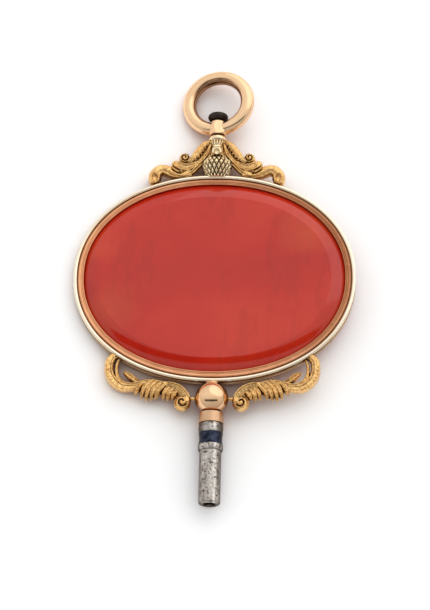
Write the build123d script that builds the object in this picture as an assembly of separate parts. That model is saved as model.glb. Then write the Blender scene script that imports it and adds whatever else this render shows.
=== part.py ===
from build123d import *
import math
import os

# Every length is in millimetres. The key lies face up: +Y runs to the hanging ring, +X to the
# right and +Z up from the surface under it. The origin lies under the middle of the whole length.
# Each piece is drawn about the centre of the oval frame, and moved to its place when it is written.

# Shared
overrun = 1.0  # how far every cutting tool runs past what it cuts
bar_sides = 8  # faces round a broad ornament bar
fine_sides = 6  # faces round a leaf blade or a small curl
round_limit_share = 0.45  # largest fillet or chamfer as a share of the narrowest face beside it

# Oval frame
frame_w = 41.9
frame_h = 32.66
frame_depth = 1.9
rim_wire_h = 0.36  # thickness of each polished wire on the corners of the band
rim_chamfer = 0.13
band_inset = 0.05
band_wall = 0.57
groove_w = 0.12  # between a rim wire and the bezel beside it
bezel_w = 1.0
bezel_drop = 0.1  # from the top of the rim wire down to the flat of the bezel
lip_w = 0.28
lip_h = 0.08

# Carnelian
stone_depth = 2.1
girdle_depth = 0.9
stone_seat = 0.42  # how far the stone reaches under the bezel
shoulder_w = 1.8
shoulder_steps = 3

# Ball on the foot of the frame
ball_d = 5.0
ball_wall = 0.4
saddle_gap = 0.06  # metal left between the ball and the frame at their nearest
saddle_d = 2.3
saddle_h = 0.42

# Ferrule under the ball
ferrule_top_d = 3.55
ferrule_bottom_d = 3.7
ferrule_length = 1.58
ferrule_cup = 0.23  # how deep the ball sinks into the ferrule

# Steel rings stacked on the tang
steel_collar_d = 3.66
steel_collar_end_d = 3.42
steel_collar_length = 1.5
blued_band_d = 3.6
blued_band_waist_d = 3.38
blued_band_length = 1.74

# Winding barrel
bead_d = 3.7
bead_end_d = 3.5
bead_length = 0.93
pipe_d = 3.2
pipe_length = 8.08
pipe_round = 0.35
square_flats = 1.55
square_depth = 6.5
mouth_d = 2.3
mouth_depth = 0.25
tang_d = 1.6
washer_d = 2.9
washer_h = 0.35
rivet_d = 2.2
rivet_h = 0.3

# Crown between the frame and the swivel
crown_height = 5.77  # from the top of the frame to the collar
crown_half_span = 10.4
crown_band_w = 2.5
crown_depth = 2.3
volute_d = 1.7
volute_depth = 1.9
volute_eye_d = 0.75
volute_eye_rise = 0.12  # over each face of the volute
boss_foot_d = 3.15
boss_d = 4.5
boss_belly = 2.0  # height of its widest ring above the frame
boss_height = 3.3
boss_top_d = 2.7
scale_rows = 6
scale_columns = 16
scale_lip = 0.16  # how far the lower edge of a scale stands out over the top of the row below
stem_d = 1.95
stem_foot_d = 2.3
collar_d = 2.66
collar_neck_d = 2.1
collar_length = 0.98
leaf_top_w = 1.63
leaf_waist_w = 1.35
leaf_tip_w = 1.2
leaf_length = 2.6
leaf_thickness = 0.75
leaf_reach = 2.1  # height of the curled tip above the middle plane
leaf_end_w_share = 0.5  # width of the rounded end as a share of the tip's
leaf_end_rise_share = 0.6  # how far the end lies under the reach as a share of the thickness

# Swivel
pin_d = 1.1
pin_clearance = 0.05  # radial, in the hub
pin_seat = 1.0  # how far the pin runs into the stem
pin_end_chamfer = 0.15
head_d = 3.06
head_foot_d = 2.4
head_face_d = 1.9
head_h = 1.08
hub_top_d = 1.75
hub_waist_d = 1.85
hub_foot_d = 2.5
hub_waist_share = 0.55  # height of the waist as a share of the hub's length
hub_length = 2.4
collar_gap = 0.2
head_gap = 0.1
ring_w = 11.2
ring_h = 10.7
ring_tube_d = 2.08
ring_sink = 1.05  # from the foot of the hub up to the centre line of the ring
ring_bury_share = 0.25  # how far the ends of the ring run into the hub, as a share of its diameter
ring_rest_turn = 12.0  # degrees that the ring is turned on its pin at rest

# Lower scrolls
lower_half_span = 15.95
lower_drop = 4.08  # from the foot of the frame to the lowest curl
lower_band_w = 2.0
lower_depth = 2.0
blade_w = 1.1
blade_depth = 1.7
lower_eye_d = 0.8
lower_eye_depth = 1.8
curl_eye_d = 0.8
curl_eye_depth = 1.5
tie_d = 0.7  # soldered tie between the inner curl and the ball

# Lines of the crown scroll: the outer leaf down to the volute, the inner band that runs on into the
# tail, and the lobe between them. Each row has the share of the half span, the share of the
# crown's height above the edge of the frame there, the share of the band's width and the share of
# the crown's depth.
crown_leaf_shares = [
    (0.111, 1.010, 0.30, 0.65),
    (0.190, 0.885, 0.58, 0.86),
    (0.262, 0.712, 0.66, 0.96),
    (0.345, 0.535, 0.54, 0.96),
    (0.430, 0.455, 0.34, 0.91),
]
crown_tail_shares = [
    (0.096, 0.949, 0.26, 0.52),
    (0.125, 0.720, 0.42, 0.70),
    (0.202, 0.470, 0.50, 0.78),
    (0.323, 0.250, 0.54, 0.78),
    (0.452, 0.145, 0.50, 0.70),
    (0.606, 0.200, 0.54, 0.74),
    (0.721, 0.350, 0.66, 0.84),
    (0.820, 0.427, 0.62, 0.87),
    (0.912, 0.385, 0.56, 0.86),
    (0.944, 0.255, 0.42, 0.78),
    (0.894, 0.123, 0.28, 0.62),
]
crown_lobe_shares = [
    (0.279, 0.436, 0.40, 0.65),
    (0.385, 0.340, 0.66, 0.86),
    (0.500, 0.362, 0.78, 0.91),
    (0.606, 0.479, 0.58, 0.74),
]
volute_share = (0.476, 0.607)

# Lines of the lower scroll, told the same way with the share of the drop below the frame: the two
# bands of the hook, the curl inside it and the inner volute.
hook_outer_shares = [
    (0.872, 0.000, 0.46, 0.80),
    (0.935, 0.400, 0.60, 0.94),
    (0.953, 0.826, 0.64, 1.0),
    (0.905, 1.125, 0.62, 1.0),
    (0.834, 1.065, 0.54, 0.95),
    (0.765, 0.880, 0.48, 0.90),
    (0.690, 0.650, 0.40, 0.85),
]
hook_inner_shares = [
    (0.832, 0.000, 0.34, 0.65),
    (0.880, 0.420, 0.44, 0.72),
    (0.876, 0.770, 0.46, 0.78),
    (0.812, 0.850, 0.46, 0.80),
    (0.746, 0.725, 0.44, 0.82),
    (0.650, 0.490, 0.50, 0.80),
    (0.514, 0.345, 0.56, 0.75),
    (0.414, 0.315, 0.52, 0.75),
]
curl_shares = [
    (0.837, 0.880, 0.30, 0.70),
    (0.836, 0.648, 0.32, 0.70),
    (0.790, 0.445, 0.32, 0.70),
    (0.742, 0.415, 0.30, 0.68),
    (0.735, 0.570, 0.26, 0.64),
]
inner_shares = [
    (0.440, 0.320, 0.50, 0.80),
    (0.345, 0.283, 0.62, 0.90),
    (0.270, 0.390, 0.64, 0.95),
    (0.238, 0.700, 0.54, 0.95),
    (0.256, 0.950, 0.44, 0.90),
    (0.300, 0.985, 0.34, 0.82),
]
curl_eye_share = (0.787, 0.584)
inner_eye_share = (0.279, 0.885)
tie_share = (0.238, 0.650)

# Leaf blades: root and tip, each as shares of the half span and of the drop
blade_shares = [
    ((0.608, 0.450), (0.690, 1.045)),
    ((0.555, 0.370), (0.627, 1.020)),
    ((0.495, 0.340), (0.561, 0.955)),
    ((0.445, 0.330), (0.508, 0.821)),
    ((0.373, 0.307), (0.442, 0.805)),
    ((0.326, 0.365), (0.395, 0.756)),
]
blade_bow_share = 0.05  # sideways bow of a blade as a share of its length
blade_tip_share = 0.34  # width and depth of a tip as a share of the blade's

# Places along the key, measured from the centre of the frame
frame_foot_y = -frame_h / 2
frame_top_y = frame_h / 2
ball_y = frame_foot_y - saddle_gap - ball_d / 2
ferrule_top_y = ball_y - ball_d / 2 + ferrule_cup
ferrule_foot_y = ferrule_top_y - ferrule_length
steel_collar_foot_y = ferrule_foot_y - steel_collar_length
blued_band_foot_y = steel_collar_foot_y - blued_band_length
bead_foot_y = blued_band_foot_y - bead_length
pipe_end_y = bead_foot_y - pipe_length
boss_top_y = frame_top_y + boss_height
collar_foot_y = frame_top_y + crown_height
collar_top_y = collar_foot_y + collar_length
hub_foot_y = collar_top_y + collar_gap
hub_top_y = hub_foot_y + hub_length
head_foot_y = hub_top_y + head_gap
head_top_y = head_foot_y + head_h
ring_y = hub_foot_y + ring_sink + (ring_h - ring_tube_d) / 2
ring_top_y = ring_y + ring_h / 2
middle_y = (ring_top_y + pipe_end_y) / 2
rest_height = max(ball_d, boss_d, bead_d) / 2

# Sections of the frame
half_depth = frame_depth / 2
band_half = half_depth - rim_wire_h
bezel_outer = band_inset + band_wall
bezel_inner = bezel_outer + bezel_w
bezel_top = half_depth - bezel_drop
rim_wire_w = bezel_outer - groove_w
girdle_inset = bezel_inner - stone_seat


def oval(inset, low, high):
    """A solid oval plate between two heights, set in from the outer edge of the frame."""
    face = Plane.XY.offset(low) * Ellipse(frame_w / 2 - inset, frame_h / 2 - inset)
    return extrude(face, amount=high - low)


def oval_ring(outer_inset, inner_inset, low, high):
    """The wall left between two ovals."""
    return oval(outer_inset, low, high) - oval(inner_inset, low - overrun, high + overrun)


def turned(points):
    """A solid turned about the long axis of the key from radius and place pairs and arcs."""
    return revolve(make_face(points), Axis.Y)


def straight_turned(foot_y, top_y, foot_d, top_d):
    """A plain turned cone or cylinder about the long axis."""
    corners = [(0, foot_y), (foot_d / 2, foot_y), (top_d / 2, top_y), (0, top_y)]
    return turned(Polyline(*corners, close=True).edges())


def curved_turned(foot_y, top_y, end_d, middle_d):
    """A turned ring whose side swells or narrows in one arc to its middle."""
    middle = (foot_y + top_y) / 2
    side = ThreePointArc((end_d / 2, foot_y), (middle_d / 2, middle), (end_d / 2, top_y))
    rest = Polyline((end_d / 2, top_y), (0, top_y), (0, foot_y), (end_d / 2, foot_y))
    return turned([side, *rest.edges()])


def bore(diameter, foot_y, top_y):
    """A round cutter along the long axis that overruns both ends."""
    return straight_turned(foot_y - overrun, top_y + overrun, diameter, diameter)


def mirrored(shape):
    """The same piece for the left side."""
    return mirror(shape, about=Plane.YZ)


def flipped(shape):
    """The same piece for the back."""
    return mirror(shape, about=Plane.XY)


def one_solid(shape):
    """The body of a piece without the crumbs that a seat cut may leave."""
    return max(shape.solids(), key=lambda solid: solid.volume)


def edge_height(x):
    """How high the outer edge of the frame stands above its centre at a distance from the axis."""
    return frame_h / 2 * math.sqrt(1 - (2 * x / frame_w) ** 2)


def crown_point(x_share, rise_share):
    """A point of the crown, told from the edge of the frame under it."""
    x = x_share * crown_half_span
    return Vector(x, edge_height(x) + rise_share * crown_height)


def lower_point(x_share, drop_share):
    """A point of the lower scroll, told from the edge of the frame over it."""
    x = x_share * lower_half_span
    return Vector(x, -edge_height(x) - drop_share * lower_drop)


def many_sided(plane, width, depth, sides):
    """A flat many-sided section with corners on an ellipse."""
    corners = []
    for index in range(sides):
        turn = 2 * math.pi * (index + 0.5) / sides
        corners.append((width / 2 * math.cos(turn), depth / 2 * math.sin(turn)))
    return plane * make_face(Polyline(*corners, close=True))


def tapered_bar(points, widths, depths, sides):
    """A bar lofted square to a smooth line in the middle plane, with its own width at each point."""
    line = Spline(*points)
    sections = []
    for point, width, depth in zip(points, widths, depths):
        along = line.tangent_at(line.param_at_point(point))
        across = Vector(-along.Y, along.X, 0)
        section_plane = Plane(origin=point, x_dir=across, z_dir=along)
        sections.append(many_sided(section_plane, width, depth, sides))
    return loft(sections)


def scroll_bar(rows, place, band_w, depth, sides=bar_sides):
    """A tapering scroll from rows of shares."""
    points = [place(row[0], row[1]) for row in rows]
    widths = [row[2] * band_w for row in rows]
    depths = [row[3] * depth for row in rows]
    return tapered_bar(points, widths, depths, sides)


def curl_eye(point, diameter, depth):
    """The round button in the middle of a curl."""
    return Pos(point) * Cylinder(diameter / 2, depth)


# Oval frame and stone


def carnelian():
    """A flat-topped oval cushion, the same on both faces, with shoulders on a quarter ellipse."""
    rise = (stone_depth - girdle_depth) / 2
    sections = []
    for step in range(shoulder_steps):
        turn = math.pi / 2 * step / (shoulder_steps - 1)
        inset = girdle_inset + shoulder_w * (1 - math.cos(turn))
        height = girdle_depth / 2 + rise * math.sin(turn)
        outline = Ellipse(frame_w / 2 - inset, frame_h / 2 - inset)
        sections.append(Plane.XY.offset(height) * outline)
    cap = loft(sections)
    girdle = oval(girdle_inset, -girdle_depth / 2, girdle_depth / 2)
    return girdle + cap + flipped(cap)


def front_bezel(stone):
    """The broad flat border that is closed down over the stone, with its fine inner lip."""
    flat = oval_ring(bezel_outer, bezel_inner, 0, bezel_top)
    lip = oval_ring(bezel_inner - lip_w, bezel_inner, 0, bezel_top + lip_h)
    return one_solid(flat + lip - stone)


def front_rim_wire():
    """The polished wire on the outer corner of the band, with softened top edges."""
    wire = oval_ring(0, rim_wire_w, band_half, half_depth)
    top_edges = wire.edges().group_by(Axis.Z)[-1]
    return chamfer(top_edges, min(rim_chamfer, min(rim_wire_h, rim_wire_w) * round_limit_share))


# Ball, ferrule and barrel


def ball_outside():
    return Pos(0, ball_y, 0) * Sphere(ball_d / 2)


def ball_inside():
    return Pos(0, ball_y, 0) * Sphere(ball_d / 2 - ball_wall)


def ball_half(sign):
    """One of the two raised cups that are soldered at the equator of the ball."""
    reach = ball_d / 2 + overrun
    half_space = Pos(0, ball_y + sign * reach / 2, 0) * Box(2 * reach, reach, 2 * reach)
    return (ball_outside() - ball_inside()) & half_space


def ball_lower_half():
    """The lower cup, pierced for the tang."""
    return ball_half(-1) - bore(tang_d, ferrule_foot_y, ball_y)


def ball_saddle(frame_block):
    """The small pad that fills the wedge between the ball and the frame."""
    pad = straight_turned(frame_foot_y - saddle_h, frame_foot_y + overrun, saddle_d, saddle_d)
    return pad - ball_outside() - frame_block


def ferrule():
    """A slightly flared sleeve with a shallow cup for the ball."""
    sleeve = straight_turned(ferrule_foot_y, ferrule_top_y, ferrule_bottom_d, ferrule_top_d)
    return sleeve - ball_outside() - bore(tang_d, ferrule_foot_y, ferrule_top_y)


def steel_collar():
    """The swelling upper bead."""
    body = curved_turned(steel_collar_foot_y, ferrule_foot_y, steel_collar_end_d, steel_collar_d)
    return body - bore(tang_d, steel_collar_foot_y, ferrule_foot_y)


def blued_band():
    """The hollowed blue ring between the beads."""
    body = curved_turned(
        blued_band_foot_y, steel_collar_foot_y, blued_band_d, blued_band_waist_d
    )
    return body - bore(tang_d, blued_band_foot_y, steel_collar_foot_y)


def washer_foot_y():
    """Where the underside of the washer meets the inside of the ball."""
    inside_r = ball_d / 2 - ball_wall
    return ball_y - math.sqrt(inside_r**2 - (washer_d / 2) ** 2) - washer_h / 2


def tang_washer():
    """The washer in the ball that the end of the tang is riveted over."""
    foot = washer_foot_y()
    disc = straight_turned(foot, foot + washer_h, washer_d, washer_d)
    return (disc & ball_inside()) - bore(tang_d, foot, foot + washer_h)


def winding_square():
    """The square hole up the pipe with its countersunk mouth."""
    length = square_depth + overrun
    middle = pipe_end_y + square_depth - length / 2
    square = Pos(0, middle, 0) * Box(square_flats, length, square_flats)
    slope = (mouth_d - square_flats) / 2 / mouth_depth
    wide_d = mouth_d + 2 * slope * overrun
    mouth = straight_turned(pipe_end_y - overrun, pipe_end_y + mouth_depth, wide_d, square_flats)
    return square + mouth


def key_barrel():
    """The turned steel barrel: pipe, lower bead, and the tang that carries the rings above it."""
    pipe = straight_turned(pipe_end_y, bead_foot_y, pipe_d, pipe_d)
    end_edge = pipe.edges().group_by(Axis.Y)[0]
    pipe = fillet(end_edge, min(pipe_round, (pipe_d - mouth_d) * round_limit_share))
    bead = curved_turned(bead_foot_y, blued_band_foot_y, bead_end_d, bead_d)
    rivet_foot = washer_foot_y() + washer_h
    tang = straight_turned(blued_band_foot_y, rivet_foot, tang_d, tang_d)
    rivet = straight_turned(rivet_foot, rivet_foot + rivet_h, rivet_d, tang_d)
    return pipe + bead + tang + rivet - winding_square()


# Crown


def boss_side():
    """The curved side of the boss from its foot to its top."""
    belly = (boss_d / 2, frame_top_y + boss_belly)
    return Spline((boss_foot_d / 2, frame_top_y), belly, (boss_top_d / 2, boss_top_y))


def boss_body():
    """The plain egg about the long axis that the edges of the scales reach."""
    rest = Polyline(
        (boss_top_d / 2, boss_top_y),
        (0, boss_top_y),
        (0, frame_top_y - overrun),
        (boss_foot_d / 2, frame_top_y - overrun),
        (boss_foot_d / 2, frame_top_y),
    )
    return turned([boss_side(), *rest.edges()])


def scale_row(row):
    """One ring of flat scales that slope in from their lower edges."""
    side = boss_side()
    sections = []
    for step, drawn_in in ((row, 0), (row + 1, scale_lip)):
        place = side @ (step / scale_rows)
        turn = Rot(0, 0, 180 / scale_columns * row)
        section_plane = Plane(origin=(0, place.Y, 0), x_dir=(1, 0, 0), z_dir=(0, 1, 0)) * turn
        width = 2 * (place.X - drawn_in)
        sections.append(many_sided(section_plane, width, width, scale_columns))
    return loft(sections, ruled=True)


def scaled_boss():
    """The egg-shaped boss with its rows of scales, each row turned half a scale from the last."""
    boss = scale_row(0)
    for row in range(1, scale_rows):
        boss += scale_row(row)
    return boss


def crown_stem():
    """The turned post on the boss that holds the end of the swivel pin."""
    post = straight_turned(boss_top_y, collar_foot_y, stem_foot_d, stem_d)
    return post - bore(pin_d, collar_foot_y - pin_seat + overrun, collar_foot_y)


def crown_collar():
    """The rounded moulding under the swivel."""
    body = curved_turned(collar_foot_y, collar_top_y, collar_neck_d, collar_d)
    return body - bore(pin_d, collar_foot_y, collar_top_y)


def crown_leaf(blocks):
    """The fluted leaf that hangs from the collar and curls out over the boss."""
    foot = collar_foot_y - leaf_length
    post_r = stem_d / 2
    middle_z = (post_r + leaf_reach) / 2
    stations = [
        (collar_foot_y, leaf_top_w, post_r),
        ((collar_foot_y + foot) / 2, leaf_waist_w, middle_z - leaf_thickness / 2),
        (foot + leaf_thickness / 2, leaf_tip_w, leaf_reach - leaf_thickness / 2),
        (foot, leaf_tip_w * leaf_end_w_share, leaf_reach - leaf_thickness * leaf_end_rise_share),
    ]
    sections = []
    for y, width, z in stations:
        section_plane = Plane(origin=(0, y, z), x_dir=(1, 0, 0), z_dir=(0, -1, 0))
        sections.append(many_sided(section_plane, width, leaf_thickness, bar_sides))
    leaf = loft(sections)
    for block in blocks:
        leaf = leaf - block
    return one_solid(leaf)


def volute():
    """The round curl on the shoulder of the crown, with an eye that stands out on each face."""
    disc = Cylinder(volute_d / 2, volute_depth)
    eye = Cylinder(volute_eye_d / 2, volute_depth + 2 * volute_eye_rise)
    return Pos(crown_point(*volute_share)) * (disc + eye)


def crown_scroll(blocks):
    """The chased scroll of the right shoulder: leaf with its volute, band with its tail, and lobe."""
    scroll = volute()
    for rows in (crown_leaf_shares, crown_tail_shares, crown_lobe_shares):
        scroll += scroll_bar(rows, crown_point, crown_band_w, crown_depth)
    for block in blocks:
        scroll = scroll - block
    return one_solid(scroll)


# Swivel


def hub_outside():
    """The envelope of the hub, flared to its foot in a hollow curve."""
    waist = (hub_waist_d / 2, hub_foot_y + hub_length * hub_waist_share)
    side = Spline((hub_foot_d / 2, hub_foot_y), waist, (hub_top_d / 2, hub_top_y))
    rest = Polyline(
        (hub_top_d / 2, hub_top_y), (0, hub_top_y), (0, hub_foot_y), (hub_foot_d / 2, hub_foot_y)
    )
    return turned([side, *rest.edges()])


def ring_hub():
    """The sleeve that turns on the pin."""
    return hub_outside() - bore(pin_d + 2 * pin_clearance, hub_foot_y, hub_top_y)


def suspension_ring():
    """The round wire bent to a slightly broad ring whose ends are soldered to the hub."""
    semi_w = (ring_w - ring_tube_d) / 2
    semi_h = (ring_h - ring_tube_d) / 2
    buried = math.degrees(math.asin(hub_top_d * ring_bury_share / semi_w))
    start = buried - 90
    path = EllipticalCenterArc(
        (0, ring_y), semi_w, semi_h, start_angle=start, arc_size=360 - 2 * buried
    )
    section_plane = Plane(origin=path @ 0, z_dir=path % 0)
    tube = sweep(section_plane * Circle(ring_tube_d / 2), path=path)
    return one_solid(tube - hub_outside())


def pin_head():
    """The rounded button inside the ring, domed out over its rim."""
    rim = (head_d / 2, (head_foot_y + head_top_y) / 2)
    side = ThreePointArc((head_foot_d / 2, head_foot_y), rim, (head_face_d / 2, head_top_y))
    rest = Polyline(
        (head_face_d / 2, head_top_y), (0, head_top_y), (0, head_foot_y), (head_foot_d / 2, head_foot_y)
    )
    return turned([side, *rest.edges()])


def pivot_pin():
    """The steel pin with its rounded head inside the ring and its end fixed in the stem."""
    shank = straight_turned(collar_foot_y - pin_seat, head_foot_y, pin_d, pin_d)
    shank = chamfer(shank.edges().group_by(Axis.Y)[0], pin_end_chamfer)
    return pin_head() + shank


# Lower scrolls


def leaf_blade(root, tip):
    """One lobe of a leaf, bowed a little and tapered to its tip."""
    along = tip - root
    across = Vector(-along.Y, along.X, 0) * blade_bow_share
    middle = (root + tip) * 0.5 - across
    widths = [blade_w, blade_w, blade_w * blade_tip_share]
    depths = [blade_depth, blade_depth, blade_depth * blade_tip_share]
    return tapered_bar([root, middle, tip], widths, depths, fine_sides)


def solder_tie():
    """The short tie from the inner curl to the side of the ball."""
    end = lower_point(*tie_share)
    length = end.X
    return Pos(length / 2, end.Y, 0) * Rot(0, 90, 0) * Cylinder(tie_d / 2, length)


def lower_scroll(blocks):
    """The chased scroll under the right side: hook, curl, leaf blades and inner volute."""
    scroll = solder_tie()
    for rows in (hook_outer_shares, hook_inner_shares):
        scroll += scroll_bar(rows, lower_point, lower_band_w, lower_depth)
    for rows in (curl_shares, inner_shares):
        scroll += scroll_bar(rows, lower_point, lower_band_w, lower_depth, fine_sides)
    for root, tip in blade_shares:
        scroll += leaf_blade(lower_point(*root), lower_point(*tip))
    scroll += curl_eye(lower_point(*curl_eye_share), curl_eye_d, curl_eye_depth)
    scroll += curl_eye(lower_point(*inner_eye_share), lower_eye_d, lower_eye_depth)
    for block in blocks:
        scroll = scroll - block
    return one_solid(scroll)


def at_rest(shape):
    """The piece moved from the centre of the frame to where the key lies."""
    return Pos(0, -middle_y, rest_height) * shape


def turned_ring_piece(shape):
    """A piece of the ring, turned on the pin to its angle at rest."""
    return Rot(0, -ring_rest_turn, 0) * shape


def build_key():
    """Every piece by name."""
    frame_block = oval(0, -rest_height - overrun, rest_height + overrun)
    stone = carnelian()
    bezel = front_bezel(stone)
    rim = front_rim_wire()
    boss_block = boss_body()
    stem_block = straight_turned(boss_top_y, collar_foot_y, stem_foot_d, stem_d)
    collar_block = curved_turned(collar_foot_y, collar_top_y, collar_neck_d, collar_d)
    leaf = crown_leaf([boss_block, stem_block, collar_block])
    crown_blocks = [frame_block, boss_block, stem_block, collar_block, leaf, flipped(leaf)]
    crown = crown_scroll(crown_blocks)
    lower = lower_scroll([frame_block, ball_outside()])
    return {
        "carnelian": stone,
        "frame_band": oval_ring(band_inset, bezel_outer, -band_half, band_half),
        "front_bezel": bezel,
        "back_bezel": flipped(bezel),
        "front_rim_wire": rim,
        "back_rim_wire": flipped(rim),
        "ball_saddle": ball_saddle(frame_block),
        "ball_upper_half": ball_half(1),
        "ball_lower_half": ball_lower_half(),
        "ferrule": ferrule(),
        "steel_collar": steel_collar(),
        "blued_band": blued_band(),
        "key_barrel": key_barrel(),
        "tang_washer": tang_washer(),
        "lower_scroll_right": lower,
        "lower_scroll_left": mirrored(lower),
        "scaled_boss": scaled_boss(),
        "crown_stem": crown_stem(),
        "crown_collar": crown_collar(),
        "crown_leaf_front": leaf,
        "crown_leaf_back": flipped(leaf),
        "crown_scroll_right": crown,
        "crown_scroll_left": mirrored(crown),
        "pivot_pin": pivot_pin(),
        "ring_hub": turned_ring_piece(ring_hub()),
        "suspension_ring": turned_ring_piece(suspension_ring()),
    }


os.makedirs("parts", exist_ok=True)
for name, piece in build_key().items():
    export_step(at_rest(piece), f"parts/{name}.step")
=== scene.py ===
import math

import bpy
import numpy as np
from mathutils import Matrix, Quaternion, Vector


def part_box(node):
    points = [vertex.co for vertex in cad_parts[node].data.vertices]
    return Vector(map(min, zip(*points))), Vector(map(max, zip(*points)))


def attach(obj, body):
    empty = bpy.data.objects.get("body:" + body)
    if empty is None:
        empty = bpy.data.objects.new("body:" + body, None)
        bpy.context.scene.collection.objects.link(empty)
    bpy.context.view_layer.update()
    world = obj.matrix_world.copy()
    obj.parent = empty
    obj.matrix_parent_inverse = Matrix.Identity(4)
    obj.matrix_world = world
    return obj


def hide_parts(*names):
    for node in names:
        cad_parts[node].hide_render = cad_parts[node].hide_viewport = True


# The key lies face up: +Y runs to the hanging ring, +X to the right and +Z up. Lengths are in
# metres, as in the frame, but for the tables that say millimetres. mm turns those into metres.
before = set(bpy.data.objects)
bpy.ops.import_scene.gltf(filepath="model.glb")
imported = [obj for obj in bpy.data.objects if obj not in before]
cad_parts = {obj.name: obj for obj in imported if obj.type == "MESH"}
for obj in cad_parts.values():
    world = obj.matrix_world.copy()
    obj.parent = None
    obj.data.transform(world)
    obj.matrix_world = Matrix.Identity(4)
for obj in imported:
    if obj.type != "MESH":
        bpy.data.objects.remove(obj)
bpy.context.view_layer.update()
mm = 0.001

# Places and sizes read from the frame
rim_low, rim_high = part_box("front_rim_wire")
semi_w = (rim_high.x - rim_low.x) / 2
semi_h = (rim_high.y - rim_low.y) / 2
oval_y = (rim_high.y + rim_low.y) / 2
ball_low, ball_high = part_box("ball_lower_half")
mid_z = (ball_low.z + ball_high.z) / 2  # the middle plane of the key, from which heights are told
rim_top = rim_high.z - mid_z
boss_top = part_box("scaled_boss")[1].y
collar_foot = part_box("crown_collar")[0].y
hub_low, hub_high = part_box("ring_hub")
ring_low, ring_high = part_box("suspension_ring")
crown_height = collar_foot - oval_y - semi_h
crown_half_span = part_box("crown_scroll_right")[1].x
lower_half_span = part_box("lower_scroll_right")[1].x

ring_turn = math.radians(12.0)  # how far the ring is turned at rest
oval_power = 2.1  # an ellipse has 2: between its axes the frame's outline is a little fuller

# How finely the meshes are cut
bar_sides, slim_sides = 48, 24
row_steps, cap_steps = 14, 5
button_rings, button_columns = 26, 72
oval_columns, wire_sides, hub_columns = 240, 16, 96

# Sizes of the chased ornaments
crown_band_w, crown_depth = 2.5 * mm, 2.3 * mm
lower_band_w, lower_depth = 2.0 * mm, 2.0 * mm
lower_drop = 4.08 * mm
thinnest = 0.02 * mm  # the least half width and half depth of a bar
cap_tip = 0.02  # how far a bar's rounded end narrows, as a share of its section
deepest = 0.05  # what a chased line leaves at least, as a share of the half depth

# Lines of the crown scroll. Each row has the share of the half span, the share of the crown's
# height above the edge of the frame there, the share of the band's width and of the depth.
crown_leaf_shares = [
    (0.111, 1.010, 0.26, 0.65), (0.178, 0.914, 0.50, 0.83), (0.240, 0.776, 0.62, 0.91),
    (0.293, 0.638, 0.64, 0.97), (0.351, 0.530, 0.50, 0.96), (0.409, 0.468, 0.32, 0.91),
]
crown_band_shares = [
    (0.096, 0.949, 0.22, 0.52), (0.125, 0.778, 0.34, 0.65), (0.160, 0.624, 0.42, 0.74),
    (0.222, 0.490, 0.46, 0.78), (0.296, 0.362, 0.46, 0.78), (0.365, 0.250, 0.48, 0.74),
    (0.440, 0.172, 0.44, 0.70), (0.510, 0.151, 0.32, 0.61),
]
crown_lobe_shares = [
    (0.279, 0.436, 0.36, 0.65), (0.365, 0.343, 0.59, 0.83), (0.462, 0.328, 0.70, 0.91),
    (0.548, 0.412, 0.74, 0.87), (0.606, 0.479, 0.56, 0.74),
]
crown_roll_shares = [
    (0.659, 0.495, 0.10, 0.83), (0.649, 0.395, 0.13, 0.87), (0.601, 0.287, 0.14, 0.87),
    (0.553, 0.227, 0.14, 0.87),
]
crown_tail_shares = [
    (0.375, 0.112, 0.28, 0.52), (0.500, 0.125, 0.34, 0.65), (0.606, 0.202, 0.50, 0.74),
    (0.702, 0.335, 0.66, 0.83), (0.795, 0.435, 0.64, 0.90), (0.864, 0.420, 0.70, 0.96),
    (0.904, 0.330, 0.78, 1.00), (0.906, 0.220, 0.78, 1.00), (0.886, 0.150, 0.62, 0.90),
]
volute_share = (0.476, 0.607)
roll_eye_share = (0.521, 0.237)

# Lines of the lower scroll, told the same way with the share of the drop below the frame
hook_outer_shares = [
    (0.885, 0.020, 0.46, 0.60), (0.928, 0.220, 0.62, 0.88), (0.958, 0.500, 0.70, 0.98),
    (0.964, 0.800, 0.72, 1.00), (0.948, 1.020, 0.74, 1.00), (0.904, 1.130, 0.72, 1.00),
    (0.842, 1.130, 0.62, 0.95), (0.775, 1.010, 0.54, 0.90), (0.705, 0.830, 0.44, 0.85),
]
hook_inner_shares = [
    (0.858, 0.020, 0.18, 0.40), (0.880, 0.240, 0.22, 0.44), (0.894, 0.491, 0.26, 0.50),
    (0.890, 0.727, 0.32, 0.60), (0.872, 0.900, 0.38, 0.70), (0.826, 0.950, 0.42, 0.80),
    (0.752, 0.850, 0.42, 0.82), (0.682, 0.660, 0.46, 0.80), (0.602, 0.450, 0.46, 0.66),
    (0.514, 0.341, 0.45, 0.60), (0.414, 0.321, 0.44, 0.60),
]
inner_shares = [
    (0.440, 0.330, 0.50, 0.80), (0.365, 0.330, 0.66, 0.90), (0.298, 0.420, 0.74, 0.96),
    (0.248, 0.620, 0.72, 1.00), (0.230, 0.830, 0.62, 0.96),
]
# The pointed lobe inside the hook
lobe_shares = [
    (0.672, 0.600, 0.30, 0.70), (0.715, 0.590, 0.46, 0.86), (0.765, 0.545, 0.50, 0.90),
    (0.812, 0.520, 0.30, 0.74),
]
# Root and tip of each leaf lobe
blade_shares = [
    ((0.650, 0.640), (0.712, 1.080)), ((0.545, 0.300), (0.652, 1.120)),
    ((0.500, 0.270), (0.612, 1.140)), ((0.455, 0.270), (0.566, 1.060)),
    ((0.410, 0.280), (0.526, 0.950)), ((0.370, 0.330), (0.452, 0.880)),
    ((0.340, 0.380), (0.410, 0.880)), ((0.312, 0.480), (0.366, 0.820)),
]
curl_centre_share = (0.708, 0.680)
inner_eye_share = (0.272, 0.880)
tie_share = (0.238, 0.650)

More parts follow.
